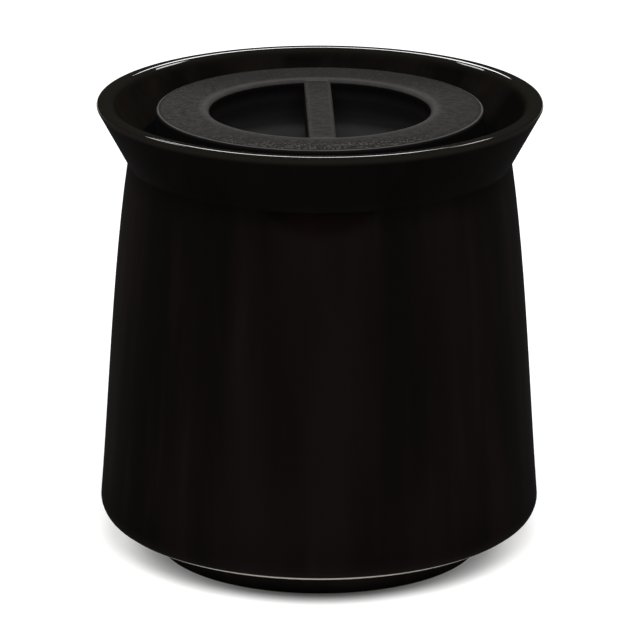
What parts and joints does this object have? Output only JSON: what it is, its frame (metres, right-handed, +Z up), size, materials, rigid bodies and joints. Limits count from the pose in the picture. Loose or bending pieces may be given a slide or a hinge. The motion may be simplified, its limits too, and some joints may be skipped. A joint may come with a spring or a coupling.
{
  "type": "candle jar",
  "caption": "Round black ceramic jar with a flared rim and a foot ring, closed by a sunken plug lid whose pull bar crosses a finger well; the lid lifts out with its seal.",
  "frame": {"origin": "centre of the foot ring's underside, on the surface the jar stands on", "axes": "+Z up along the jar's axis, +Y along the lid's pull bar towards the back, +X across the bar to the right"},
  "size_m": [0.1022, 0.1022, 0.1067],
  "materials": {
    "glaze": "near-black high-gloss glaze, with a dry unglazed face under the foot ring",
    "lid": "dark grey moulded plastic with a fine matte grain",
    "seal": "black soft silicone, matte"
  },
  "bodies": {
    "jar": {"jar": "glaze"},
    "seal": {"lid_seal": "seal"},
    "lid": {"lid": "lid"}
  },
  "joints": [
    {"name": "lid_lift", "type": "slide", "parent": "jar", "child": "seal", "axis": [0, 0, 1], "range_m": [0, 0.05]},
    {"name": "lid_turn", "type": "hinge", "parent": "seal", "child": "lid", "pos_m": [0, 0, 0.0976], "axis": [0, 0, 1], "continuous": true}
  ]
}
